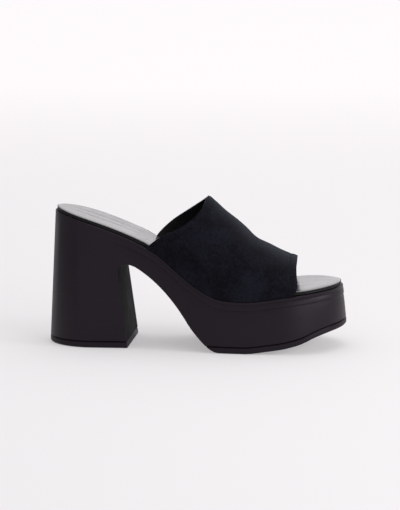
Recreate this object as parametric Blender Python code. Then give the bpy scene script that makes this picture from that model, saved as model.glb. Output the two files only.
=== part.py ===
"""Platform mule for a right foot: one wide suede strap on a one-piece sole with a block heel.

The toe points along +X, the heel back along -X, and +Z is up. The lateral (outer) side is -Y.
"""
import math

import bmesh
import bpy
import numpy as np

# Driving sizes of the last, in metres.
INSOLE_LENGTH = 0.2276
SEAT_WIDTH = 0.0540
BALL_WIDTH = 0.0832
TOE_SWING = 0.0042
HEEL_ROUND = 0.0307
TOE_ROUND = 0.0455

# Driving sizes of the sole unit.
HEEL_HEIGHT = 0.1071
PLATFORM_HEIGHT = 0.0412
TOE_RISE = 0.0080
TOE_SPRING = 0.0175
RIM_MARGIN = 0.0014
RIM_ROUND = 0.0006
HEEL_FLARE = math.radians(2.8)
BALL_FLARE = math.radians(3.2)
TOE_FLARE = math.radians(6.0)

# Beads moulded along the top of the side wall, and the seam lines above the ground.
BEAD_UPPER = 0.0022
BEAD_LOWER = 0.0038
BEAD_GROOVE = 0.0005
GROOVE_WIDTH = 0.0007
SEAM_DEPTH = 0.0007
SEAM_SLOPE = 0.0006
OUTSOLE_THICKNESS = 0.0050
GROUND_ROUND = 0.0022

# The open arch between heel and platform.
BREAST_SETBACK = 0.0605
BREAST_LEAN = math.radians(7.6)
ARCH_LENGTH = 0.0738
ARCH_HEIGHT = 0.0673
ARCH_ROUND = 0.0078

# The footbed.
INSOLE_THICKNESS = 0.0033
INSOLE_ROUND = 0.0008
INSOLE_COVER = 0.0018
INSOLE_GROOVE = 0.0004

# The strap.
UPPER_WALL = 0.0022
STRAP_RISE = 0.0712
STRAP_APEX = 0.1215
REACH_LATERAL = 0.0460
REACH_MEDIAL = 0.0458
REAR_CURVE_LATERAL = 1.40
REAR_CURVE_MEDIAL = 1.05
SECTION_POWER = 2.3
MARGIN_WIDTH = 0.0120
MARGIN_THICKNESS = 0.0016
MARGIN_TUCK = 0.0013

CLEARANCE = 0.0003
RIM_SETBACK = 0.0001

# How finely the curved forms are divided.
STATIONS = 60
ACROSS = 40
STRAP_ROWS = 22

# Half widths between the seat (0) and the ball (1), by share of the insole's length.
OUTLINE = {
    "along": (0.00, 0.12, 0.24, 0.35, 0.45, 0.55, 0.65, 0.76, 0.87, 1.00),
    "lateral": (0.00, 0.00, -0.04, 0.04, 0.38, 0.79, 0.985, 1.02, 0.96, 0.84),
    "medial": (0.00, 0.00, -0.07, -0.13, 0.08, 0.55, 0.89, 1.02, 0.93, 0.76),
}

# Height of the sole's top edge above the platform, as shares of the heel's and the toe's rise.
TOP_LINE = {
    "along": (0.00, 0.10, 0.20, 0.30, 0.38, 0.45, 0.53, 0.60, 0.68, 0.80, 0.90, 1.00),
    "heel": (1.000, 0.906, 0.791, 0.648, 0.491, 0.298, 0.106, 0.011, 0.000, 0.000, 0.000, 0.000),
    "toe": (0.00, 0.00, 0.00, 0.00, 0.00, 0.00, 0.00, 0.00, 0.00, 0.41, 0.74, 1.00),
}

# Height of the ground side, as a share of the toe spring.
GROUND_LINE = {
    "along": (0.00, 0.60, 0.68, 0.75, 0.83, 0.87, 0.91, 0.95, 1.00),
    "spring": (0.00, 0.00, 0.00, 0.11, 0.29, 0.45, 0.70, 0.87, 1.00),
}

# The arch's ceiling, from the breast (0) to the platform's foot (1).
ARCH_LINE = {
    "along": (-0.02, 0.05, 0.18, 0.31, 0.44, 0.57, 0.705, 0.785, 0.86, 0.93, 1.00),
    "height": (1.000, 0.982, 0.896, 0.783, 0.643, 0.470, 0.258, 0.160, 0.079, 0.026, 0.000),
}

# The strap's crown above the sole's top edge, as a share of its rise.
CROWN = {
    "along": (0.30, 0.45, 0.534, 0.60, 0.66, 0.70, 0.74, 0.79, 0.85, 0.90),
    "rise": (0.94, 1.00, 1.000, 0.90, 0.755, 0.625, 0.545, 0.435, 0.340, 0.285),
}

# The strap's front edge, from its lateral foot (0) over the crown to its medial foot (1).
FRONT_EDGE = {
    "across": (0.00, 0.03, 0.10, 0.22, 0.50, 0.75, 0.90, 1.00),
    "along": (0.8437, 0.8540, 0.8595, 0.8542, 0.8462, 0.8374, 0.8304, 0.8229),
}


def read(table, key, name, at):
    """A smooth curve through one named column of a table, which never swings past its rows."""
    xs, ys = np.array(table[key]), np.array(table[name])
    rises = np.diff(ys) / np.diff(xs)
    before, after = np.append(rises[0], rises), np.append(rises, rises[-1])
    limit = 3 * np.minimum(abs(before), abs(after)) * (before * after > 0)
    slopes = np.clip(np.gradient(ys, xs), -limit, limit)
    at = np.clip(at, xs[0], xs[-1])
    i = np.clip(np.searchsorted(xs, at) - 1, 0, len(xs) - 2)
    step = xs[i + 1] - xs[i]
    t = (at - xs[i]) / step
    start = (1 + 2 * t) * (1 - t) ** 2 * ys[i] + t * (1 - t) ** 2 * step * slopes[i]
    end = t * t * (3 - 2 * t) * ys[i + 1] - t * t * (1 - t) * step * slopes[i + 1]
    return start + end


def ease(value, low, high):
    """0 below low, 1 above high and a soft ramp between them."""
    t = np.clip((value - low) / (high - low), 0.0, 1.0)
    return t * t * (3 - 2 * t)


def rounding(along):
    """Brings the half widths to zero at the heel and at the toe."""
    heel = np.clip(1 - along * INSOLE_LENGTH / HEEL_ROUND, 0, 1)
    toe = np.clip(1 - (1 - along) * INSOLE_LENGTH / TOE_ROUND, 0, 1)
    return np.sqrt(1 - heel ** 2) * (1 - toe ** 2.05) ** (1 / 2.05)


def half_width(along, side):
    """Distance from the last's axis to its edge, on the lateral (-1) or medial (+1) side."""
    share = read(OUTLINE, "along", "lateral" if side < 0 else "medial", along)
    return (SEAT_WIDTH + (BALL_WIDTH - SEAT_WIDTH) * share) / 2 * rounding(along)


def axis(along):
    """The last's axis swings towards the medial side at the toe."""
    return TOE_SWING * np.clip((along - 0.6) / 0.4, 0, 1) ** 1.5


def top_height(along):
    heel = read(TOP_LINE, "along", "heel", along) * (HEEL_HEIGHT - PLATFORM_HEIGHT)
    return PLATFORM_HEIGHT + heel + read(TOP_LINE, "along", "toe", along) * TOE_RISE


def ground_height(along):
    return read(GROUND_LINE, "along", "spring", along) * TOE_SPRING


def flare(along):
    """Outward lean of the side wall, as a slope."""
    ball = ease(along, 0.35, 0.60)
    toe = ease(along, 0.80, 0.97)
    angle = HEEL_FLARE + (BALL_FLARE - HEEL_FLARE) * ball + (TOE_FLARE - BALL_FLARE) * toe
    return np.tan(angle)


def ring():
    """Shares along the last and sides of the outline's points, from the heel round the toe and back."""
    turn = np.linspace(0, math.pi, STATIONS + 1)
    along = (1 - np.cos(turn)) / 2
    side = np.concatenate([-np.ones(STATIONS + 1), np.ones(STATIONS - 1)])
    return np.concatenate([along, along[-2:0:-1]]), side


def outline(offset):
    """The insole's outline moved outwards by an offset at each point, as X and Y."""
    along, side = ring()
    half = np.where(side < 0, half_width(along, -1), half_width(along, 1))
    x = along * INSOLE_LENGTH
    y = axis(along) + side * half
    tangent_x = np.roll(x, -1) - np.roll(x, 1)
    tangent_y = np.roll(y, -1) - np.roll(y, 1)
    size = np.hypot(tangent_x, tangent_y)
    return x + tangent_y / size * offset, y - tangent_x / size * offset


def add_object(name, mesh, material=None):
    obj = bpy.data.objects.new(name, mesh)
    bpy.context.scene.collection.objects.link(obj)
    if material:
        mesh.materials.append(material)
        mesh.shade_smooth()
        mesh.set_sharp_from_angle(angle=math.radians(35))
    return obj


def to_mesh(name, bm):
    bmesh.ops.recalc_face_normals(bm, faces=bm.faces)
    mesh = bpy.data.meshes.new(name)
    bm.to_mesh(mesh)
    bm.free()
    return mesh


def stacked(name, levels):
    """A closed body from outlines stacked from top to bottom. Each level is (heights, offsets)."""
    bm = bmesh.new()
    rings = []
    for heights, offsets in levels:
        x, y = outline(offsets)
        rings.append([bm.verts.new(p) for p in zip(x + ORIGIN_X, y + ORIGIN_Y, heights)])
    count = 2 * STATIONS
    for upper, lower in zip(rings, rings[1:]):
        for i in range(count):
            j = (i + 1) % count
            bm.faces.new((upper[i], upper[j], lower[j], lower[i]))
    for cap in (rings[0], rings[-1]):
        bm.faces.new((cap[0], cap[1], cap[-1]))
        bm.faces.new((cap[STATIONS], cap[STATIONS - 1], cap[STATIONS + 1]))
        for i in range(1, STATIONS - 1):
            bm.faces.new((cap[i], cap[i + 1], cap[count - i - 1], cap[count - i]))
    return to_mesh(name, bm)


def wall_offset(along, depth):
    """How far the side wall stands out at a depth below the top edge."""
    return RIM_MARGIN + depth * flare(along)


def unit_levels():
    """The one-piece sole above its seam: rim, two beads that fade out at the heel, wall and seam."""
    along, _ = ring()
    top = top_height(along)
    bead = ease(along, 0.12, 0.30)
    first = BEAD_UPPER
    second = BEAD_UPPER + GROOVE_WIDTH + BEAD_LOWER
    rows = [
        (0.0, -RIM_ROUND),
        (RIM_ROUND, 0.0),
        (first, 0.0),
        (first + GROOVE_WIDTH / 2, -0.6 * BEAD_GROOVE * bead),
        (first + GROOVE_WIDTH, 0.1 * BEAD_GROOVE * bead),
        (second, 0.4 * BEAD_GROOVE * bead),
        (second + GROOVE_WIDTH, -BEAD_GROOVE * bead),
        (second + 3 * GROOVE_WIDTH, -0.4 * BEAD_GROOVE * bead),
    ]
    levels = [(top - depth, wall_offset(along, depth) + extra) for depth, extra in rows]
    start = top - rows[-1][0]
    end = ground_height(along) + OUTSOLE_THICKNESS + CLEARANCE + SEAM_SLOPE
    for share in (0.33, 0.67, 1.0):
        height = start + (end - start) * share
        fade = -0.4 * BEAD_GROOVE * bead * (1 - ease(share, 0.0, 0.5))
        levels.append((height, wall_offset(along, top - height) + fade))
    levels.append((end - SEAM_SLOPE, wall_offset(along, top - end) - SEAM_DEPTH))
    return levels


def ground_levels():
    """The layer under the seam: outsole and heel piece, with a rounded ground edge."""
    along, _ = ring()
    top = top_height(along)
    ground = ground_height(along)
    heights = [OUTSOLE_THICKNESS, OUTSOLE_THICKNESS - SEAM_SLOPE, GROUND_ROUND]
    extras = [-SEAM_DEPTH, 0.0, 0.0]
    for turn in (math.radians(30), math.radians(60), math.radians(90)):
        heights.append(GROUND_ROUND * (1 - math.sin(turn)))
        extras.append(-GROUND_ROUND * (1 - math.cos(turn)))
    return [
        (ground + height, wall_offset(along, top - ground - height) + extra)
        for height, extra in zip(heights, extras)
    ]


def insole_levels():
    """The footbed, drawn in where the strap's wall passes it."""
    along, side = ring()
    rear = np.where(side < 0, STRAP_APEX - REACH_LATERAL, STRAP_APEX - REACH_MEDIAL) / INSOLE_LENGTH
    front = np.where(side < 0, FRONT_EDGE["along"][1], FRONT_EDGE["along"][-1])
    ramp = 0.035
    inset = MARGIN_TUCK * ease(along, rear - ramp, rear - 0.005) * (1 - ease(along, front + 0.005, front + ramp))
    base = top_height(along) + CLEARANCE
    rows = [
        (INSOLE_THICKNESS, -1.6 * INSOLE_ROUND),
        (INSOLE_THICKNESS - 0.25 * INSOLE_ROUND, -0.6 * INSOLE_ROUND),
        (INSOLE_THICKNESS - INSOLE_ROUND, 0.0),
        (INSOLE_THICKNESS - INSOLE_COVER + INSOLE_GROOVE, 0.0),
        (INSOLE_THICKNESS - INSOLE_COVER, -INSOLE_GROOVE),
        (INSOLE_THICKNESS - INSOLE_COVER - INSOLE_GROOVE, 0.0),
        (0.5 * INSOLE_ROUND, 0.0),
        (0.0, -0.5 * INSOLE_ROUND),
    ]
    return [(base + height, extra - inset) for height, extra in rows]


def arch_line():
    """The arch's ceiling as points from the platform's foot to the breast, in X and Z."""
    share = np.linspace(1.0, ARCH_LINE["along"][0], 22)
    x = BREAST_SETBACK + share * ARCH_LENGTH
    z = read(ARCH_LINE, "along", "height", share) * ARCH_HEIGHT
    return list(zip(x, z))


def breast_line(height):
    """A point on the heel's front face."""
    return BREAST_SETBACK - height * math.tan(BREAST_LEAN), height


def breast_round():
    """The soft corner between the arch's ceiling and the breast."""
    start = arch_line()[-1]
    corner = breast_line(start[1])
    end = breast_line(start[1] - ARCH_ROUND)
    points = []
    for t in np.linspace(0, 1, 7)[1:]:
        weights = ((1 - t) ** 2, 2 * t * (1 - t), t * t)
        points.append(tuple(sum(w * p[k] for w, p in zip(weights, (start, corner, end))) for k in (0, 1)))
    return points


def prism(name, points):
    """A cutter: an outline in X and Z, drawn through the whole width."""
    bm = bmesh.new()
    near = [bm.verts.new((x + ORIGIN_X, -BALL_WIDTH, z)) for x, z in points]
    bm.faces.new(near)
    made = bmesh.ops.extrude_face_region(bm, geom=bm.faces[:])
    moved = [v for v in made["geom"] if isinstance(v, bmesh.types.BMVert)]
    bmesh.ops.translate(bm, verts=moved, vec=(0, 2 * BALL_WIDTH, 0))
    return hide(add_object(name, to_mesh(name, bm)))


def hide(cutter):
    cutter.hide_render = True
    cutter.display_type = "WIRE"
    return cutter


def cut(obj, cutter):
    modifier = obj.modifiers.new(cutter.name, "BOOLEAN")
    modifier.operation = "DIFFERENCE"
    modifier.solver = "EXACT"
    modifier.object = cutter


def strap_edge(across, side):
    """Where the strap's rear edge lies along the last, for a place across it."""
    reach = REACH_LATERAL if side < 0 else REACH_MEDIAL
    curve = REAR_CURVE_LATERAL if side < 0 else REAR_CURVE_MEDIAL
    return STRAP_APEX - reach * (1 - math.sin(math.pi * across)) ** curve


def strap_x(across, row):
    """Position along the last of a point of the strap: row 0 is its rear edge, row 1 its front edge."""
    side = -1 if across < 0.5 else 1
    rear = strap_edge(across, side)
    front = float(read(FRONT_EDGE, "across", "along", across)) * INSOLE_LENGTH
    return rear + (front - rear) * row


def strap_foot(x, side):
    """The edge of the sole under the strap: its Y and Z."""
    along = x / INSOLE_LENGTH
    return float(axis(along) + side * half_width(along, side)), float(top_height(along))


def strap_point(across, row):
    """A point on the strap's outer face."""
    side = -1 if across < 0.5 else 1
    x = strap_x(across, row)
    along = x / INSOLE_LENGTH
    middle = float(axis(along))
    edge, top = strap_foot(x, side)
    width = abs(edge - middle) + RIM_MARGIN - RIM_SETBACK
    rise = float(read(CROWN, "along", "rise", along)) * STRAP_RISE - CLEARANCE
    turn = math.pi * across
    y = middle + side * width * abs(math.cos(turn)) ** (2 / SECTION_POWER)
    z = top + CLEARANCE + rise * math.sin(turn) ** (2 / SECTION_POWER)
    return np.array((x, y, z))


def strap_grid():
    """Outer and inner points of the strap's wall, row by row from the rear edge to the front."""
    shares = (1 - np.cos(np.linspace(0, math.pi, ACROSS + 1))) / 2
    shares = 0.35 * shares + 0.65 * np.linspace(0, 1, ACROSS + 1)
    rows = np.linspace(0, 1, STRAP_ROWS + 1)
    outer = np.array([[strap_point(min(max(a, 1e-5), 1 - 1e-5), r) for a in shares] for r in rows])
    along = np.gradient(outer, axis=0)
    across = np.gradient(outer, axis=1)
    normal = np.cross(along, across)
    normal /= np.linalg.norm(normal, axis=2, keepdims=True)
    if normal[STRAP_ROWS // 2, ACROSS // 2, 2] < 0:
        normal = -normal
    inner = outer - normal * UPPER_WALL
    for column, side in ((0, -1), (-1, 1)):
        inner[:, column] = outer[:, column] - np.array((0, side * UPPER_WALL, 0))
    return outer, inner


def margin_points(x, side):
    """The lasting margin that turns in under the footbed: pairs of lower and upper points."""
    edge, top = strap_foot(x, side)
    inward = -side
    tip = edge + inward * MARGIN_WIDTH
    heel = edge + side * CLEARANCE / 3
    inner = edge + side * (RIM_MARGIN - RIM_SETBACK) + inward * UPPER_WALL
    low = top - MARGIN_THICKNESS
    pairs = [((tip, low), (tip, top)), ((heel, low), (inner + inward * UPPER_WALL / 2, top))]
    pairs.append(((heel, top + CLEARANCE), (inner, top)))
    return [[np.array((x, y, z)) for y, z in pair] for pair in pairs]


def make_upper(material):
    """The strap with its two lasting margins, as one closed wall."""
    outer, inner = strap_grid()
    sections = []
    for r in range(STRAP_ROWS + 1):
        left = margin_points(outer[r, 0, 0], -1)
        right = margin_points(outer[r, -1, 0], 1)[::-1]
        faces_out = [p[0] for p in left] + list(outer[r]) + [p[0] for p in right]
        faces_in = [p[1] for p in left] + list(inner[r]) + [p[1] for p in right]
        sections.append((faces_out, faces_in))
    bm = bmesh.new()
    shift = np.array((ORIGIN_X, ORIGIN_Y, 0))
    grid = [[[bm.verts.new(p + shift) for p in layer] for layer in section] for section in sections]
    last = len(grid[0][0]) - 1
    for a, b in zip(grid, grid[1:]):
        for k in range(last):
            bm.faces.new((a[0][k], a[0][k + 1], b[0][k + 1], b[0][k]))
            bm.faces.new((a[1][k], b[1][k], b[1][k + 1], a[1][k + 1]))
        for k in (0, last):
            bm.faces.new((a[0][k], b[0][k], b[1][k], a[1][k]))
    for end in (grid[0], grid[-1]):
        for k in range(last):
            bm.faces.new((end[0][k], end[0][k + 1], end[1][k + 1], end[1][k]))
    return add_object("upper", to_mesh("upper", bm), material)


def margin_pocket(name, side):
    """The cutter for the shallow pocket in the sole's top that takes one lasting margin."""
    start = strap_x(0.0 if side < 0 else 1.0, 0.0) - CLEARANCE
    end = strap_x(0.0 if side < 0 else 1.0, 1.0) + CLEARANCE
    bm = bmesh.new()
    sections = []
    for x in np.linspace(start, end, STRAP_ROWS + 1):
        edge, top = strap_foot(x, side)
        wall = edge + side * CLEARANCE * 4 / 3
        tip = edge - side * (MARGIN_WIDTH + CLEARANCE)
        low = top - MARGIN_THICKNESS - CLEARANCE
        high = top + INSOLE_THICKNESS
        corners = ((wall, low), (tip, low), (tip, high), (wall, high))
        sections.append([bm.verts.new((x + ORIGIN_X, y + ORIGIN_Y, z)) for y, z in corners])
    for a, b in zip(sections, sections[1:]):
        for k in range(4):
            bm.faces.new((a[k], a[(k + 1) % 4], b[(k + 1) % 4], b[k]))
    bm.faces.new(sections[0])
    bm.faces.new(sections[-1])
    return hide(add_object(name, to_mesh(name, bm)))


def material(name, colour, roughness):
    made = bpy.data.materials.new(name)
    made.use_nodes = True
    shader = made.node_tree.nodes["Principled BSDF"]
    shader.inputs["Base Color"].default_value = (*colour, 1)
    shader.inputs["Roughness"].default_value = roughness
    shader.inputs["Metallic"].default_value = 0.0
    return made


def centre():
    """Moves the part so that its box is centred on X and Y."""
    along, _ = ring()
    top = top_height(along)
    low = ground_height(along) + GROUND_ROUND
    x, y = outline(wall_offset(along, top - low))
    return -(x.min() + x.max()) / 2, -(y.min() + y.max()) / 2


def make_sole(unit_material, ground_material):
    """The one-piece sole, its outsole and its heel piece, cut by the same arch."""
    below = -0.01
    ceiling = arch_line()
    foot = ceiling[0]
    arch = [(foot[0] + ARCH_HEIGHT / 5, below)] + ceiling + breast_round() + [breast_line(below)]
    rear = [p for p in ceiling if p[1] < 3 * OUTSOLE_THICKNESS]
    behind = [arch[0]] + rear + [(-INSOLE_LENGTH, rear[-1][1]), (-INSOLE_LENGTH, below)]
    over = TOE_SPRING + 2 * OUTSOLE_THICKNESS
    ahead = [breast_line(below), breast_line(over), (2 * INSOLE_LENGTH, over), (2 * INSOLE_LENGTH, below)]

    unit = add_object("sole_unit", stacked("sole_unit", unit_levels()), unit_material)
    cut(unit, prism("arch_cutter", arch))
    cut(unit, margin_pocket("lateral_pocket_cutter", -1))
    cut(unit, margin_pocket("medial_pocket_cutter", 1))
    outsole = add_object("forefoot_outsole", stacked("forefoot_outsole", ground_levels()), ground_material)
    cut(outsole, prism("outsole_cutter", behind))
    heel = add_object("heel_top_piece", stacked("heel_top_piece", ground_levels()), ground_material)
    cut(heel, prism("heel_piece_cutter", ahead))


for old in list(bpy.data.objects):
    bpy.data.objects.remove(old)

ORIGIN_X, ORIGIN_Y = centre()
make_sole(material("moulded sole", (0.016, 0.014, 0.018), 0.45), material("rubber", (0.013, 0.012, 0.014), 0.6))
add_object("insole", stacked("insole", insole_levels()), material("smooth leather", (0.30, 0.30, 0.30), 0.35))
make_upper(material("suede", (0.008, 0.010, 0.012), 0.95))
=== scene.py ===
"""Dresses the platform mule: suede strap, leather footbed, moulded sole and rubber ground pieces."""
import math

import bmesh
import bpy
import numpy as np
from mathutils import Matrix, Vector
from mathutils.bvhtree import BVHTree
from mathutils.kdtree import KDTree


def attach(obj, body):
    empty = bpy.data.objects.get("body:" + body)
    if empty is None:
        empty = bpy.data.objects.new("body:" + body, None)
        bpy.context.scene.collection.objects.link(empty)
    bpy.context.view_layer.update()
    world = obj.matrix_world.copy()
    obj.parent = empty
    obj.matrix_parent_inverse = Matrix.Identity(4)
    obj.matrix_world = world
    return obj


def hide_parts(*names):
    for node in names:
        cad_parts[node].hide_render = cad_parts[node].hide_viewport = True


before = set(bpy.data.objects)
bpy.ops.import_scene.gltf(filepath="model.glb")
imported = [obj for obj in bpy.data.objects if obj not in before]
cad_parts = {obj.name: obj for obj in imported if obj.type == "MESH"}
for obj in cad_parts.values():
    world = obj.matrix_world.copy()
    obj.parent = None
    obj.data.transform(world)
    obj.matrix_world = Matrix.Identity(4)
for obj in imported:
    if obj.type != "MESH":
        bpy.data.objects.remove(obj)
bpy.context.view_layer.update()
BODY = "root"

bl_info = {
    "name": "Platform mule",
    "version": (1, 0, 0),
    "blender": (4, 5, 0),
    "location": "View3D > Sidebar > Mule",
    "description": "Dresses the packed solids of a heeled platform mule",
    "category": "Object",
}


def length(name, default, description):
    return bpy.props.FloatProperty(
        name=name,
        description=description,
        default=default,
        unit="LENGTH",
        subtype="DISTANCE",
        precision=5,
    )


def amount(name, default, description):
    return bpy.props.FloatProperty(name=name, description=description, default=default, precision=3)


def colour(name, default, description):
    return bpy.props.FloatVectorProperty(
        name=name, description=description, default=default, size=3, subtype="COLOR", min=0, max=1
    )


def angle(name, degrees, description):
    return bpy.props.FloatProperty(
        name=name,
        description=description,
        default=math.radians(degrees),
        subtype="ANGLE",
        unit="ROTATION",
    )


class StrapSettings(bpy.types.PropertyGroup):
    suede_dark: colour("Suede, low nap", (0.0014, 0.0012, 0.0030), "Suede brushed away from the light")
    suede_light: colour("Suede, raised nap", (0.0066, 0.0068, 0.0124), "Suede brushed towards the light")
    lining: colour("Lining", (0.006, 0.006, 0.007), "Smooth leather inside the strap")
    hem: length("Hem width", 0.0052, "Width of the turned hem along the strap's front and rear edges")
    hem_puff: length("Hem swell", 0.00028, "How far the turned hem stands out")
    seam_depth: length("Seam depth", 0.00040, "Depth of the line that the stitches pull in")
    edge_round: length("Edge rounding", 0.0007, "Rounding of the folded edge")
    stitch: length("Stitch length", 0.0026, "Length of one stitch")
    stitch_gap: length("Stitch gap", 0.0009, "Space between two stitches")
    thread: length("Thread", 0.00055, "Diameter of the sewing thread")


class SoleSettings(bpy.types.PropertyGroup):
    side: colour("Moulded side", (0.0068, 0.0050, 0.0076), "Satin black of the sole's side")
    # Painted shade: the grained faces' colour is darker than the side, partly their own grained finish and
    # partly shade painted under the waist and on the heel's front.
    grained_shade: colour("Grained faces", (0.0042, 0.0040, 0.0046), "Heel front and waist underside")
    rubber: colour("Ground rubber", (0.0064, 0.0048, 0.0072), "Outsole and heel piece")
    corner: length("Corner rounding", 0.0015, "Rounding of the heel's front corners and of the arch")


class FootbedSettings(bpy.types.PropertyGroup):
    leather: colour("Footbed leather", (0.070, 0.066, 0.072), "Smooth black leather with a sheen")
    dish: length("Seat hollow", 0.0011, "Depth of the soft hollow under the heel")
    edge_fall: length("Edge fall", 0.0005, "How far the cover falls towards its rolled edge")


class StageSettings(bpy.types.PropertyGroup):
    azimuth: angle("Azimuth", 6.5, "Camera's turn towards the toe")
    elevation: angle("Elevation", 9.5, "Camera's height above the horizon")
    distance: length("Distance", 1.8, "Camera to the shoe")
    pixel: length("Size of a pixel", 0.0008, "Width of the photograph's pixel at the shoe")
    aim_height: length("Aim height", 0.0709, "Height of the picture's centre")
    aim_along: length("Aim along", 0.0019, "Place of the picture's centre along the shoe")
    surround: amount("Surround", 0.62, "Brightness of the white surround")
    key_light: amount("Key light", 9.0, "Power of the soft light beyond the toe, in watts")
    front_light: amount("Front light", 7.0, "Power of the soft light before the toe's side, in watts")
    top_light: amount("Top light", 7.0, "Power of the soft light above, in watts")


def mm(value):
    return value / 1000


# The camera's sensor in millimetres along the picture's height, and that height in pixels.
SENSOR = 36.0
PHOTO_HEIGHT = 510

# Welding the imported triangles, pairing them into quads and merging flat neighbours.
WELD = 2e-6
PAIR_ANGLE = math.radians(25)
PAIR_SHAPE = math.radians(60)
FLAT_ANGLE = math.radians(0.6)

# Edges that turn more than these are shaded sharp, on the soft and on the moulded pieces.
SOFT_SHARP = math.radians(60)
MOULDED_SHARP = math.radians(30)

# The strap: where its crown is looked for, how far one wall's surface may turn, and which faces look down.
CROWN_ALONG = (mm(25), mm(60))
CROWN_HALF = mm(6)
CROWN_NORMAL = 0.5
WALL_TURN = math.radians(50)
DOWNWARD = -0.75

# How far from the middle of the foot the folds are whole, half the seam line's width, its pull at the
# stitches and the spacing of the points along an edge.
FOLD_FADE = mm(12)
SEAM_HALF = mm(0.75)
STITCH_PULL = 0.35
EDGE_STEP = mm(0.4)

# A stitch, in shares of its thickness: width at its ends, swell to its middle, dip, level and lift.
STITCH_END = 0.55
STITCH_SWELL = 0.45
STITCH_DIP = 0.45
STITCH_LEVEL = 0.75
STITCH_LIFT = 0.15

# How far inside its edge the strap's direction is read, and how close to its feet the stitches end.
READ_INSIDE = mm(1.5)
FOOT_CLEAR = mm(3)

# The footbed: its broad top faces, the creases of its edge, its rolled edge and the hollow of its seat.
TOP_NORMAL = 0.8
BROAD = mm(12)
BROAD_CUTS = 9
EDGE_CREASE = (math.radians(32), 0.55)
COVER_NORMAL = 0.83
COVER_UPWARD = 0.6
FALL_WIDTH = mm(6)
HOLLOW_FADE = mm(8)
HOLLOW_ALONG = mm(-80)
HOLLOW_LENGTH = mm(34)
HOLLOW_WIDTH = mm(22)

# The heel's front face and the waist's underside, which the arch cuts, and the sole's rounded corners.
ARCH_ALONG = (mm(-64), mm(24))
ARCH_TOP = mm(69)
ARCH_SIDEWAYS = 0.5
ARCH_UPWARD = 0.30
CORNER_ANGLE = math.radians(48)
CORNER_SEGMENTS = 3

# The floor sweep, in metres: half width, front end, start of the bend, its radius and the wall's top.
FLOOR_HALF = 4.0
FLOOR_NEAR = -3.0
FLOOR_FAR = 2.2
FLOOR_RADIUS = 0.8
FLOOR_TOP = 3.0


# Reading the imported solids.


def merged_copy(node):
    """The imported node's mesh with its loose triangles welded and paired into quads."""
    bm = bmesh.new()
    bm.from_mesh(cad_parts[node].data)
    bmesh.ops.remove_doubles(bm, verts=bm.verts, dist=WELD)
    bmesh.ops.join_triangles(
        bm,
        faces=bm.faces,
        angle_face_threshold=PAIR_ANGLE,
        angle_shape_threshold=PAIR_SHAPE,
    )
    bm.normal_update()
    return bm


def add_piece(name, bm, materials, node):
    """An object on the body that takes its node's place, if it has one."""
    mesh = bpy.data.meshes.new(name)
    bm.to_mesh(mesh)
    bm.free()
    for item in materials:
        mesh.materials.append(item)
    obj = bpy.data.objects.new(name, mesh)
    bpy.context.scene.collection.objects.link(obj)
    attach(obj, BODY)
    if node:
        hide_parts(node)
    return obj


def apply_modifiers(obj):
    """Keeps the evaluated mesh and drops the modifiers."""
    graph = bpy.context.evaluated_depsgraph_get()
    graph.update()
    made = bpy.data.meshes.new_from_object(obj.evaluated_get(graph))
    obj.modifiers.clear()
    old = obj.data
    obj.data = made
    bpy.data.meshes.remove(old)
    made.name = obj.name


def smooth(obj, sharp):
    obj.data.shade_smooth()
    obj.data.set_sharp_from_angle(angle=sharp)


def subdivide(obj, levels):
    modifier = obj.modifiers.new("Subdivision", "SUBSURF")
    modifier.levels = modifier.render_levels = levels
    apply_modifiers(obj)


def crease_sharp(bm, limit, weight):
    """Keeps edges that turn more than a limit firmer when the mesh is subdivided."""
    layer = bm.edges.layers.float.get("crease_edge") or bm.edges.layers.float.new("crease_edge")
    for edge in bm.edges:
        if len(edge.link_faces) == 2 and edge.calc_face_angle(0) > limit:
            edge[layer] = weight


# Shader helpers.


def group_sockets(group, inputs, outputs):
    for name, kind, default in inputs:
        made = group.interface.new_socket(name=name, in_out="INPUT", socket_type=kind)
        if default is not None:
            made.default_value = default
    for name, kind in outputs:
        group.interface.new_socket(name=name, in_out="OUTPUT", socket_type=kind)


def new_group(name, inputs, outputs):
    group = bpy.data.node_groups.new(name, "ShaderNodeTree")
    group_sockets(group, inputs, outputs)
    return group, group.nodes.new("NodeGroupInput"), group.nodes.new("NodeGroupOutput")


def add_node(tree, kind, values=(), **settings):
    node = tree.nodes.new(kind)
    for key, value in settings.items():
        setattr(node, key, value)
    for key, value in values:
        node.inputs[key].default_value = value
    return node


def mottle_group():
    """A soft cloudy mask of two sizes, from 0 to 1."""
    name = "soft mottle"
    if name in bpy.data.node_groups:
        return bpy.data.node_groups[name]
    inputs = (
        ("Vector", "NodeSocketVector", None),
        ("Large", "NodeSocketFloat", 70.0),
        ("Small", "NodeSocketFloat", 500.0),
        ("Low", "NodeSocketFloat", 0.35),
        ("High", "NodeSocketFloat", 0.65),
    )
    group, start, end = new_group(name, inputs, (("Mask", "NodeSocketFloat"),))
    link = group.links.new
    large = add_node(group, "ShaderNodeTexNoise", (("Detail", 3.0), ("Roughness", 0.6), ("Distortion", 0.4)))
    small = add_node(group, "ShaderNodeTexNoise", (("Detail", 2.0), ("Roughness", 0.6)))
    blend = add_node(group, "ShaderNodeMix", (("Factor", 0.4),), data_type="FLOAT")
    ramp = add_node(group, "ShaderNodeMapRange", (), interpolation_type="SMOOTHSTEP")
    for node, scale in ((large, "Large"), (small, "Small")):
        link(start.outputs["Vector"], node.inputs["Vector"])
        link(start.outputs[scale], node.inputs["Scale"])
    link(large.outputs["Fac"], blend.inputs["A"])
    link(small.outputs["Fac"], blend.inputs["B"])
    link(blend.outputs["Result"], ramp.inputs["Value"])
    link(start.outputs["Low"], ramp.inputs["From Min"])
    link(start.outputs["High"], ramp.inputs["From Max"])
    link(ramp.outputs["Result"], end.inputs["Mask"])
    return group


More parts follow.
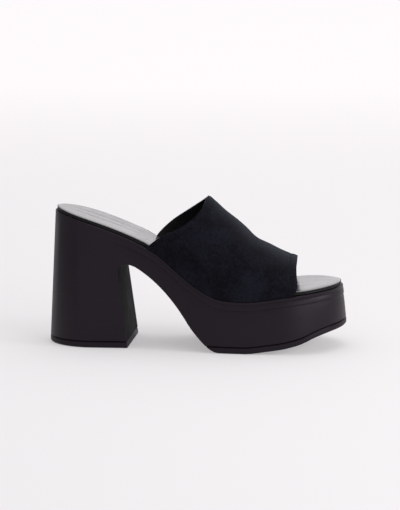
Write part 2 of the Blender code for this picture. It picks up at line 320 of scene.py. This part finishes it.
def grain_group():
    """Height of a leather-like grain: small cells with soft valleys and fine pores."""
    name = "leather grain"
    if name in bpy.data.node_groups:
        return bpy.data.node_groups[name]
    inputs = (
        ("Vector", "NodeSocketVector", None),
        ("Cells", "NodeSocketFloat", 900.0),
        ("Pores", "NodeSocketFloat", 3000.0),
        ("Pore share", "NodeSocketFloat", 0.3),
    )
    group, start, end = new_group(name, inputs, (("Height", "NodeSocketFloat"),))
    link = group.links.new
    warp = add_node(group, "ShaderNodeTexNoise", (("Scale", 260.0), ("Detail", 2.0)))
    shift = add_node(group, "ShaderNodeVectorMath", (), operation="SCALE")
    shift.inputs["Scale"].default_value = 0.0012
    moved = add_node(group, "ShaderNodeVectorMath", (), operation="ADD")
    cells = add_node(group, "ShaderNodeTexVoronoi", (), feature="F1")
    pores = add_node(group, "ShaderNodeTexNoise", (("Detail", 2.0),))
    blend = add_node(group, "ShaderNodeMix", (), data_type="FLOAT")
    link(start.outputs["Vector"], warp.inputs["Vector"])
    link(warp.outputs["Color"], shift.inputs[0])
    link(shift.outputs[0], moved.inputs[0])
    link(start.outputs["Vector"], moved.inputs[1])
    link(moved.outputs[0], cells.inputs["Vector"])
    link(start.outputs["Cells"], cells.inputs["Scale"])
    link(start.outputs["Vector"], pores.inputs["Vector"])
    link(start.outputs["Pores"], pores.inputs["Scale"])
    link(cells.outputs["Distance"], blend.inputs["A"])
    link(pores.outputs["Fac"], blend.inputs["B"])
    link(start.outputs["Pore share"], blend.inputs["Factor"])
    link(blend.outputs["Result"], end.inputs["Height"])
    return group


def scuff_group():
    """A mask of thin, faint rub marks that lie mostly along one way."""
    name = "rub marks"
    if name in bpy.data.node_groups:
        return bpy.data.node_groups[name]
    inputs = (
        ("Vector", "NodeSocketVector", None),
        ("Stretch", "NodeSocketVector", (30.0, 30.0, 240.0)),
        ("Threshold", "NodeSocketFloat", 0.62),
    )
    group, start, end = new_group(name, inputs, (("Mask", "NodeSocketFloat"),))
    link = group.links.new
    scaled = add_node(group, "ShaderNodeVectorMath", (), operation="MULTIPLY")
    noise = add_node(group, "ShaderNodeTexNoise", (("Scale", 1.0), ("Detail", 4.0), ("Roughness", 0.65)))
    ramp = add_node(group, "ShaderNodeMapRange", (("From Max", 0.80),), interpolation_type="SMOOTHSTEP")
    link(start.outputs["Vector"], scaled.inputs[0])
    link(start.outputs["Stretch"], scaled.inputs[1])
    link(scaled.outputs[0], noise.inputs["Vector"])
    link(noise.outputs["Fac"], ramp.inputs["Value"])
    link(start.outputs["Threshold"], ramp.inputs["From Min"])
    link(ramp.outputs["Result"], end.inputs["Mask"])
    return group


class Recipe:
    """A material's node tree with its shader and Object coordinates at hand."""

    def __init__(self, name, **values):
        self.material = bpy.data.materials.new(name)
        self.material.use_nodes = True
        self.tree = self.material.node_tree
        self.shader = self.tree.nodes["Principled BSDF"]
        self.place = self.tree.nodes.new("ShaderNodeTexCoord").outputs["Object"]
        for key, value in values.items():
            self.set(key.replace("_", " ").title().replace("Ior", "IOR"), value)

    def set(self, socket, value):
        self.shader.inputs[socket].default_value = value

    def node(self, kind, values=(), **settings):
        return add_node(self.tree, kind, values, **settings)

    def link(self, start, end):
        self.tree.links.new(start, end)

    def group(self, tree, **values):
        node = self.tree.nodes.new("ShaderNodeGroup")
        node.node_tree = tree
        self.link(self.place, node.inputs["Vector"])
        for key, value in values.items():
            node.inputs[key.replace("_", " ").capitalize()].default_value = value
        return node.outputs[0]

    def blend(self, mask, first, second):
        """A colour between two, by a mask."""
        node = self.node("ShaderNodeMix", data_type="RGBA")
        self.link(mask, node.inputs[0])
        for socket, value in ((node.inputs[6], first), (node.inputs[7], second)):
            if hasattr(value, "links"):
                self.link(value, socket)
            else:
                socket.default_value = (*value, 1)
        return node.outputs[2]

    def between(self, mask, low, high):
        """A value between two, by a mask."""
        node = self.node("ShaderNodeMapRange", (("To Min", low), ("To Max", high)))
        self.link(mask, node.inputs["Value"])
        return node.outputs["Result"]

    def bump(self, height, strength, distance, after=None):
        node = self.node("ShaderNodeBump", (("Strength", strength), ("Distance", distance)))
        self.link(height, node.inputs["Height"])
        if after:
            self.link(after, node.inputs["Normal"])
        return node.outputs["Normal"]


def suede_material(s):
    r = Recipe("black suede", roughness=0.95)
    r.set("Specular IOR Level", 0.12)
    r.set("Sheen Weight", 0.06)
    r.set("Sheen Roughness", 0.45)
    r.set("Sheen Tint", (0.70, 0.82, 1.0, 1))
    nap = r.group(mottle_group(), large=38.0, small=420.0, low=0.38, high=0.66)
    r.link(r.blend(nap, s.suede_dark, s.suede_light), r.shader.inputs["Base Color"])
    fibres = r.node("ShaderNodeTexNoise", (("Scale", 2600.0), ("Detail", 3.0), ("Roughness", 0.7)))
    r.link(r.place, fibres.inputs["Vector"])
    tufts = r.node("ShaderNodeTexNoise", (("Scale", 520.0), ("Detail", 2.0), ("Distortion", 0.8)))
    r.link(r.place, tufts.inputs["Vector"])
    soft = r.bump(tufts.outputs["Fac"], 0.55, mm(0.35))
    r.link(r.bump(fibres.outputs["Fac"], 0.8, mm(0.12), soft), r.shader.inputs["Normal"])
    return r.material


def lining_material(s):
    r = Recipe("black lining leather")
    r.set("Specular IOR Level", 0.45)
    rubs = r.group(scuff_group(), stretch=(60.0, 60.0, 60.0), threshold=0.58)
    r.link(r.blend(rubs, s.lining, tuple(3.5 * c for c in s.lining)), r.shader.inputs["Base Color"])
    r.link(r.between(rubs, 0.34, 0.55), r.shader.inputs["Roughness"])
    grain = r.group(grain_group(), cells=1100.0, pores=3600.0)
    r.link(r.bump(grain, 0.25, mm(0.10)), r.shader.inputs["Normal"])
    return r.material


def side_material(s):
    r = Recipe("satin moulded side")
    r.set("Specular IOR Level", 0.20)
    r.set("Specular Tint", (1.0, 0.86, 1.0, 1))
    cloud = r.group(mottle_group(), large=24.0, small=300.0, low=0.30, high=0.75)
    rubs = r.group(scuff_group(), stretch=(26.0, 26.0, 300.0), threshold=0.62)
    base = r.blend(cloud, tuple(0.88 * c for c in s.side), tuple(1.15 * c for c in s.side))
    r.link(r.blend(rubs, base, tuple(1.7 * c for c in s.side)), r.shader.inputs["Base Color"])
    r.link(r.between(cloud, 0.40, 0.50), r.shader.inputs["Roughness"])
    grain = r.group(grain_group(), cells=1500.0, pores=4200.0, pore_share=0.5)
    r.link(r.bump(grain, 0.10, mm(0.06)), r.shader.inputs["Normal"])
    return r.material


def grained_material(s):
    r = Recipe("grained moulded face")
    r.set("Specular IOR Level", 0.06)
    cloud = r.group(mottle_group(), large=60.0, small=500.0, low=0.32, high=0.70)
    # Painted shade: this darker colour is partly the grained finish and partly the shade under the waist and
    # on the heel's front.
    r.link(r.blend(cloud, s.grained_shade, tuple(1.6 * c for c in s.grained_shade)), r.shader.inputs["Base Color"])
    r.link(r.between(cloud, 0.70, 0.85), r.shader.inputs["Roughness"])
    grain = r.group(grain_group(), cells=430.0, pores=1500.0, pore_share=0.35)
    r.link(r.bump(grain, 0.75, mm(0.35)), r.shader.inputs["Normal"])
    return r.material


def rubber_material(s):
    r = Recipe("ground rubber")
    r.set("Specular IOR Level", 0.18)
    r.set("Specular Tint", (1.0, 0.86, 1.0, 1))
    cloud = r.group(mottle_group(), large=50.0, small=700.0)
    r.link(r.blend(cloud, s.rubber, tuple(1.5 * c for c in s.rubber)), r.shader.inputs["Base Color"])
    r.link(r.between(cloud, 0.50, 0.62), r.shader.inputs["Roughness"])
    grain = r.group(grain_group(), cells=1200.0, pores=3000.0, pore_share=0.5)
    r.link(r.bump(grain, 0.18, mm(0.10)), r.shader.inputs["Normal"])
    return r.material


def footbed_material(s):
    r = Recipe("footbed leather")
    r.set("Specular IOR Level", 0.6)
    r.set("Coat Roughness", 0.18)
    r.set("Coat IOR", 1.8)
    cloud = r.group(mottle_group(), large=22.0, small=160.0, low=0.30, high=0.72)
    r.link(r.blend(cloud, s.leather, tuple(1.25 * c for c in s.leather)), r.shader.inputs["Base Color"])
    r.link(r.between(cloud, 0.30, 0.40), r.shader.inputs["Roughness"])
    r.link(r.between(cloud, 0.95, 0.75), r.shader.inputs["Coat Weight"])
    grain = r.group(grain_group(), cells=1300.0, pores=4000.0)
    r.link(r.bump(grain, 0.16, mm(0.08)), r.shader.inputs["Normal"])
    return r.material


def edge_material(s):
    r = Recipe("footbed edge")
    r.set("Specular IOR Level", 0.22)
    cloud = r.group(mottle_group(), large=60.0, small=600.0)
    r.link(r.blend(cloud, (0.004, 0.004, 0.005), (0.008, 0.007, 0.009)), r.shader.inputs["Base Color"])
    r.link(r.between(cloud, 0.42, 0.55), r.shader.inputs["Roughness"])
    return r.material


def thread_material():
    r = Recipe("black thread", roughness=0.6)
    twist = r.node("ShaderNodeTexWave", (("Scale", 1400.0), ("Distortion", 1.0)), bands_direction="DIAGONAL")
    r.link(r.place, twist.inputs["Vector"])
    black = r.blend(twist.outputs["Fac"], (0.002, 0.002, 0.003), (0.005, 0.005, 0.007))
    r.link(black, r.shader.inputs["Base Color"])
    r.set("Specular IOR Level", 0.15)
    r.link(r.bump(twist.outputs["Fac"], 0.5, mm(0.08)), r.shader.inputs["Normal"])
    return r.material


# The strap.

# Soft troughs (positive depth) and ridges: side of the shoe, then start and end as places along the
# shoe and heights, depth and half width, all in millimetres.
STRAP_FOLDS = (
    {"side": -1, "start": (-4, 86), "end": (30, 66), "depth": 0.45, "half": 9},
    {"side": -1, "start": (34, 93), "end": (58, 60), "depth": 0.50, "half": 8},
    {"side": -1, "start": (60, 72), "end": (76, 54), "depth": 0.35, "half": 6},
    {"side": -1, "start": (-18, 78), "end": (8, 58), "depth": -0.35, "half": 7},
    {"side": -1, "start": (14, 104), "end": (44, 82), "depth": -0.30, "half": 8},
    {"side": 1, "start": (-2, 90), "end": (28, 64), "depth": 0.45, "half": 9},
    {"side": 1, "start": (36, 90), "end": (60, 58), "depth": 0.45, "half": 8},
    {"side": 1, "start": (20, 80), "end": (46, 56), "depth": -0.30, "half": 7},
)


def region(seed):
    """Faces joined to a seed face across edges that turn little."""
    found, queue = {seed}, [seed]
    while queue:
        face = queue.pop()
        for edge in face.edges:
            if edge.calc_face_angle(math.pi) > WALL_TURN:
                continue
            for other in edge.link_faces:
                if other not in found:
                    found.add(other)
                    queue.append(other)
    return found


def strap_regions(bm):
    """The strap's outer wall and its inner wall, found from the crown."""
    start, end = CROWN_ALONG
    level = [f for f in bm.faces if abs(f.normal.z) > CROWN_NORMAL]
    crown = [f for f in level if abs(f.calc_center_median().y) < CROWN_HALF]
    middle = [f for f in crown if start < f.calc_center_median().x < end]
    outer = max(middle, key=lambda f: f.calc_center_median().z if f.normal.z > 0 else -1)
    inner = max(middle, key=lambda f: f.calc_center_median().z if f.normal.z < 0 else -1)
    return region(outer), region(inner)


def edge_chain(edges):
    """Points along an open run of edges, in order."""
    links = {}
    for edge in edges:
        a, b = edge.verts
        links.setdefault(a, []).append(b)
        links.setdefault(b, []).append(a)
    ends = [v for v, near in links.items() if len(near) == 1]
    walk, last = [min(ends, key=lambda v: v.co.y)], None
    while True:
        ahead = [v for v in links[walk[-1]] if v is not last]
        if not ahead:
            return [v.co.copy() for v in walk]
        last = walk[-1]
        walk.append(ahead[0])


def resample(points, step):
    """Evenly spaced points on a smooth curve through others, and the distance run at each."""
    p = np.array([tuple(v) for v in points])
    run = np.concatenate([[0], np.cumsum(np.linalg.norm(np.diff(p, axis=0), axis=1))])
    at = np.arange(0, run[-1], step)
    slopes = np.gradient(p, run, axis=0)
    i = np.clip(np.searchsorted(run, at, side="right") - 1, 0, len(run) - 2)
    width = run[i + 1] - run[i]
    t = ((at - run[i]) / width)[:, None]
    width = width[:, None]
    out = (1 + 2 * t) * (1 - t) ** 2 * p[i] + t * (1 - t) ** 2 * width * slopes[i]
    out += t * t * (3 - 2 * t) * p[i + 1] - t * t * (1 - t) * width * slopes[i + 1]
    return out, at


def strap_edges(outer):
    """The outer wall's rear and front edges as smooth runs of points."""
    runs = {"rear": [], "front": []}
    for face in outer:
        for edge in face.edges:
            beside = [f for f in edge.link_faces if f not in outer]
            if not beside or beside[0].normal.z < DOWNWARD:
                continue
            runs["front" if beside[0].normal.x > 0 else "rear"].append(edge)
    return {key: edge_chain(run) for key, run in runs.items()}


def fold_depth(points, side):
    """How far the listed troughs and ridges press the strap in at each point."""
    total = np.zeros(len(points))
    flat = points[:, (0, 2)]
    for fold in STRAP_FOLDS:
        a, b = (np.array(fold[key]) / 1000 for key in ("start", "end"))
        t = np.clip(((flat - a) @ (b - a)) / ((b - a) @ (b - a)), 0, 1)
        away = np.linalg.norm(flat - a - t[:, None] * (b - a), axis=1)
        ends = np.sin(math.pi * np.clip(t, 0.04, 0.96)) ** 0.5
        shape = np.exp(-((away / mm(fold["half"])) ** 2)) * ends
        beside = np.clip(side * fold["side"] / FOLD_FADE, 0, 1)
        total += mm(fold["depth"]) * shape * beside
    return total


def mesh_arrays(mesh):
    """The places and normals of a mesh's vertices."""
    count = len(mesh.vertices)
    points, normals = np.zeros(3 * count), np.zeros(3 * count)
    mesh.vertices.foreach_get("co", points)
    mesh.vertex_normals.foreach_get("vector", normals)
    return points.reshape(-1, 3), normals.reshape(-1, 3)


def nearest_run(points, curve):
    """Distance from each point to a curve, and the distance run along the curve there."""
    line, run = curve
    tree = KDTree(len(line))
    for i, p in enumerate(line):
        tree.insert(p, i)
    tree.balance()
    found = [tree.find(p) for p in points]
    return np.array([f[2] for f in found]), run[[f[1] for f in found]]


def press_strap(obj, edges, s):
    """Puts the hems, the pulled-in seam lines and the soft folds into the strap."""
    mesh = obj.data
    count = len(mesh.vertices)
    points, normals = mesh_arrays(mesh)
    outside = np.zeros(count, bool)
    inside = np.zeros(count, bool)
    for face in mesh.polygons:
        target = outside if face.material_index == 0 else inside
        target[list(face.vertices)] = True
    both = outside & inside
    move = np.zeros(count)
    for curve in edges.values():
        away, run = nearest_run(points, curve)
        pull = 1 + STITCH_PULL * np.cos(2 * math.pi * run / (s.stitch + s.stitch_gap))
        seam = np.exp(-(((away - s.hem) / SEAM_HALF) ** 2)) * s.seam_depth * pull
        puff = np.sin(math.pi * np.clip(away / s.hem, 0, 1)) ** 1.5 * s.hem_puff
        move += np.where(outside & ~both, puff - seam, 0)
    dent = fold_depth(points, points[:, 1])
    inward = np.where(inside & ~outside, 1.0, -1.0)
    points = points + normals * (move + inward * dent)[:, None]
    mesh.vertices.foreach_set("co", points.ravel())
    mesh.update()


def stitch_shape():
    """One stitch along X: a short rounded thread that dips at both ends."""
    bm = bmesh.new()
    bmesh.ops.create_cone(
        bm,
        cap_ends=True,
        segments=6,
        radius1=0.5,
        radius2=0.5,
        depth=1.0,
        matrix=Matrix.Rotation(math.pi / 2, 4, "Y"),
    )
    long = [e for e in bm.edges if abs((e.verts[0].co - e.verts[1].co).x) > 0.5]
    bmesh.ops.subdivide_edges(bm, edges=long, cuts=3)
    for v in bm.verts:
        bend = 1 - (2 * v.co.x) ** 2
        width = STITCH_END + STITCH_SWELL * max(bend, 0) ** 0.5
        v.co.y *= width
        v.co.z = v.co.z * width + STITCH_DIP * (bend - STITCH_LEVEL)
    mesh = bpy.data.meshes.new("stitch form")
    bm.to_mesh(mesh)
    bm.free()
    return mesh


class MULE_OT_strap(bpy.types.Operator):
    """Makes the lined suede strap with its turned hems"""

    bl_idname = "mule.strap"
    bl_label = "Strap"

    def execute(self, context):
        s = context.scene.mule_strap
        bm = merged_copy("upper")
        outer, inner = strap_regions(bm)
        edges = {key: resample(chain, EDGE_STEP) for key, chain in strap_edges(outer).items()}
        for face in bm.faces:
            face.material_index = 1 if face in inner else 0
        rim = [e for e in bm.edges if e.calc_face_angle(0) > WALL_TURN]
        bmesh.ops.bevel(
            bm,
            geom=rim,
            offset=s.edge_round,
            offset_type="OFFSET",
            affect="EDGES",
            segments=2,
            profile=0.5,
            material=-1,
            clamp_overlap=True,
        )
        obj = add_piece("strap", bm, [suede_material(s), lining_material(s)], "upper")
        subdivide(obj, 2)
        press_strap(obj, edges, s)
        smooth(obj, SOFT_SHARP)
        self.stitches(obj, edges, s)
        return {"FINISHED"}

    def stitches(self, strap, edges, s):
        """Lays one row of stitches along each hem, on the strap's own surface."""
        graph = bpy.context.evaluated_depsgraph_get()
        surface = BVHTree.FromObject(strap, graph)
        form = stitch_shape()
        bm = bmesh.new()
        pitch = s.stitch + s.stitch_gap
        for key, (line, run) in edges.items():
            inward = 1 if key == "rear" else -1
            step = int(round(pitch / (run[1] - run[0])))
            for i in range(step, len(line) - step, step):
                along = Vector(line[i + 1] - line[i - 1]).normalized()
                near = surface.find_nearest(Vector(line[i]) + Vector((inward * READ_INSIDE, 0, 0)))
                across = along.cross(near[1]).normalized()
                if across.x * inward < 0:
                    across = -across
                place, normal, _, _ = surface.find_nearest(Vector(line[i]) + across * s.hem)
                if place.z < min(line[0][2], line[-1][2]) + FOOT_CLEAR:
                    continue
                along = (along - normal * along.dot(normal)).normalized()
                side = normal.cross(along)
                turn = Matrix((along, side, normal)).transposed().to_4x4()
                size = Matrix.Diagonal((s.stitch, s.thread, s.thread, 1))
                at = Matrix.Translation(place + normal * s.thread * STITCH_LIFT)
                before = len(bm.verts)
                bm.from_mesh(form)
                bm.verts.ensure_lookup_table()
                bmesh.ops.transform(bm, matrix=at @ turn @ size, verts=bm.verts[before:])
        bpy.data.meshes.remove(form)
        obj = add_piece("strap_stitches", bm, [thread_material()], None)
        smooth(obj, SOFT_SHARP)


class MULE_OT_footbed(bpy.types.Operator):
    """Makes the leather footbed with its rolled and grooved edge"""

    bl_idname = "mule.footbed"
    bl_label = "Footbed"

    def execute(self, context):
        s = context.scene.mule_footbed
        bm = merged_copy("insole")
        upward = [f for f in bm.faces if f.normal.z > TOP_NORMAL]
        top = [f for f in upward if max(e.calc_length() for e in f.edges) > BROAD]
        wide = {e for f in top for e in f.edges if abs(e.verts[0].co.y - e.verts[1].co.y) > BROAD}
        bmesh.ops.subdivide_edges(bm, edges=list(wide), cuts=BROAD_CUTS, use_grid_fill=True)
        crease_sharp(bm, *EDGE_CREASE)
        obj = add_piece("footbed", bm, [footbed_material(s), edge_material(s)], "insole")
        subdivide(obj, 2)
        self.shape(obj, s)
        smooth(obj, SOFT_SHARP)
        return {"FINISHED"}

    def shape(self, obj, s):
        """Presses the seat's hollow in and lets the cover fall to its edge."""
        mesh = obj.data
        points, normals = mesh_arrays(mesh)
        border = set()
        for face in mesh.polygons:
            if face.normal.z < COVER_NORMAL:
                face.material_index = 1
                border.update(face.vertices)
        away = nearest_run(points, (points[sorted(border)], np.arange(len(border))))[0]
        fall = s.edge_fall * np.clip(1 - away / FALL_WIDTH, 0, 1) ** 2
        spread = ((points[:, 0] - HOLLOW_ALONG) / HOLLOW_LENGTH) ** 2 + (points[:, 1] / HOLLOW_WIDTH) ** 2
        hollow = s.dish * np.exp(-spread) * np.clip(away / HOLLOW_FADE, 0, 1)
        points[:, 2] -= np.where(normals[:, 2] > COVER_UPWARD, fall + hollow, 0)
        mesh.vertices.foreach_set("co", points.ravel())
        mesh.update()


class MULE_OT_sole(bpy.types.Operator):
    """Makes the moulded sole and the two rubber ground pieces"""

    bl_idname = "mule.sole"
    bl_label = "Sole"

    def execute(self, context):
        s = context.scene.mule_sole
        side, grained_shade, rubber = side_material(s), grained_material(s), rubber_material(s)
        unit = self.rounded("sole_unit", "sole_moulding", [side, grained_shade], "sole", s)
        # The heel's front and the waist's underside get the darker grained colour, which is partly painted
        # shade.
        for face in unit.data.polygons:
            face.material_index = 1 if self.is_arch(face) else 0
        for node, name in (("forefoot_outsole", "outsole_rubber"), ("heel_top_piece", "heel_rubber")):
            self.rounded(node, name, [rubber], "outsole", s)
        return {"FINISHED"}

    def is_arch(self, face):
        """True for the heel's front face and the waist's underside."""
        if abs(face.normal.y) > ARCH_SIDEWAYS or face.normal.z > ARCH_UPWARD:
            return False
        start, end = ARCH_ALONG
        return start < face.center.x < end and face.center.z < ARCH_TOP

    def rounded(self, node, name, materials, slot, s):
        """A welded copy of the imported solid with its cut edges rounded."""
        bm = merged_copy(node)
        bmesh.ops.dissolve_limit(bm, angle_limit=FLAT_ANGLE, verts=bm.verts, edges=bm.edges)
        obj = add_piece(name, bm, materials, node)
        modifier = obj.modifiers.new("Rounded corners", "BEVEL")
        modifier.width = s.corner
        modifier.segments = CORNER_SEGMENTS
        modifier.limit_method = "ANGLE"
        modifier.angle_limit = CORNER_ANGLE
        modifier.use_clamp_overlap = True
        apply_modifiers(obj)
        smooth(obj, MOULDED_SHARP)
        return obj


class MULE_OT_stage(bpy.types.Operator):
    """Makes the pale floor, the soft light and the camera"""

    bl_idname = "mule.stage"
    bl_label = "Stage"

    def execute(self, context):
        s = context.scene.mule_stage
        self.floor()
        self.surround(s)
        self.lights(s)
        self.camera(s)
        context.scene.view_settings.view_transform = "Standard"
        return {"FINISHED"}

    def floor(self):
        """A pale floor that sweeps up into a wall far behind the shoe; it glows by itself as painted light,
        which lifts the shadows on it and grows brighter towards the wall.
        """
        bm = bmesh.new()
        turns = [math.radians(a) for a in range(0, 91, 10)]
        bend = [(FLOOR_FAR + FLOOR_RADIUS * math.sin(a), FLOOR_RADIUS * (1 - math.cos(a))) for a in turns]
        profile = [(FLOOR_NEAR, 0.0), *bend, (FLOOR_FAR + FLOOR_RADIUS, FLOOR_TOP)]
        verts = [bm.verts.new((-FLOOR_HALF, y, z)) for y, z in profile]
        edges = [bm.edges.new(pair) for pair in zip(verts, verts[1:])]
        made = bmesh.ops.extrude_edge_only(bm, edges=edges)
        moved = [v for v in made["geom"] if isinstance(v, bmesh.types.BMVert)]
        bmesh.ops.translate(bm, verts=moved, vec=(2 * FLOOR_HALF, 0, 0))
        bmesh.ops.recalc_face_normals(bm, faces=bm.faces)
        mesh = bpy.data.meshes.new("floor sweep")
        bm.to_mesh(mesh)
        bm.free()
        mesh.shade_smooth()
        r = Recipe("pale floor", roughness=0.9)
        r.set("Base Color", (0.50, 0.49, 0.495, 1))
        r.set("Specular IOR Level", 0.1)
        # Painted light: the floor glows by itself, which lifts the shadows on it, and glows more towards the
        # wall behind the shoe.
        r.set("Emission Color", (1.0, 0.975, 0.985, 1))
        place = r.node("ShaderNodeSeparateXYZ")
        r.link(r.place, place.inputs[0])
        # The painted glow grows from the front of the floor towards the wall.
        painted_glow = r.node(
            "ShaderNodeMapRange",
            (("From Min", 0.1), ("From Max", 2.6), ("To Min", 0.36), ("To Max", 0.60)),
            interpolation_type="SMOOTHSTEP",
        )
        r.link(place.outputs["Y"], painted_glow.inputs["Value"])
        r.link(painted_glow.outputs["Result"], r.shader.inputs["Emission Strength"])
        mesh.materials.append(r.material)
        obj = bpy.data.objects.new("floor_sweep", mesh)
        bpy.context.scene.collection.objects.link(obj)

    def surround(self, s):
        world = bpy.data.worlds.new("white surround")
        world.use_nodes = True
        back = world.node_tree.nodes["Background"]
        back.inputs["Color"].default_value = (0.985, 0.97, 1.0, 1)
        back.inputs["Strength"].default_value = s.surround
        bpy.context.scene.world = world

    def lights(self, s):
        """Soft boxes: above and behind, beyond the toe, and before the toe's side."""
        boxes = (
            ("top_box", (0.1, 0.35, 1.5), (0.0, 0.0, 0.05), 1.3, s.top_light),
            ("key_box", (1.5, -0.30, 0.70), (0.0, 0.0, 0.05), 0.5, s.key_light),
            ("front_box", (1.15, -1.15, 0.45), (0.06, 0.0, 0.04), 0.9, s.front_light),
        )
        for name, place, aim, size, power in boxes:
            light = bpy.data.lights.new(name, "AREA")
            light.size = size
            light.energy = power
            obj = bpy.data.objects.new(name, light)
            obj.location = place
            obj.rotation_euler = (Vector(aim) - Vector(place)).to_track_quat("-Z", "Y").to_euler()
            bpy.context.scene.collection.objects.link(obj)

    def camera(self, s):
        data = bpy.data.cameras.new("camera")
        data.sensor_width = SENSOR
        data.lens = SENSOR * s.distance / (s.pixel * PHOTO_HEIGHT)
        a, e = s.azimuth, s.elevation
        back = Vector((math.sin(a) * math.cos(e), -math.cos(a) * math.cos(e), math.sin(e)))
        obj = bpy.data.objects.new("camera", data)
        obj.location = Vector((s.aim_along, 0, s.aim_height)) + back * s.distance
        obj.rotation_euler = (-back).to_track_quat("-Z", "Y").to_euler()
        bpy.context.scene.collection.objects.link(obj)
        bpy.context.scene.camera = obj


class MULE_PT_panel(bpy.types.Panel):
    """Lists the mule's pieces in the sidebar"""

    bl_idname = "MULE_PT_panel"
    bl_label = "Platform mule"
    bl_space_type = "VIEW_3D"
    bl_region_type = "UI"
    bl_category = "Mule"

    def draw(self, context):
        for key, operator in STEPS:
            box = self.layout.box()
            box.operator(operator)
            settings = getattr(context.scene, key)
            for name in settings.__annotations__:
                box.prop(settings, name)


STEPS = (
    ("mule_sole", "mule.sole"),
    ("mule_footbed", "mule.footbed"),
    ("mule_strap", "mule.strap"),
    ("mule_stage", "mule.stage"),
)
SETTINGS = {
    "mule_sole": SoleSettings,
    "mule_footbed": FootbedSettings,
    "mule_strap": StrapSettings,
    "mule_stage": StageSettings,
}
CLASSES = (*SETTINGS.values(), MULE_OT_sole, MULE_OT_footbed, MULE_OT_strap, MULE_OT_stage, MULE_PT_panel)


def register():
    for item in CLASSES:
        bpy.utils.register_class(item)
    for key, group in SETTINGS.items():
        setattr(bpy.types.Scene, key, bpy.props.PointerProperty(type=group))


def unregister():
    for key in SETTINGS:
        delattr(bpy.types.Scene, key)
    for item in reversed(CLASSES):
        bpy.utils.unregister_class(item)


def main():
    register()
    for _, operator in STEPS:
        group, name = operator.split(".")
        getattr(getattr(bpy.ops, group), name)()


if __name__ == "__main__":
    main()
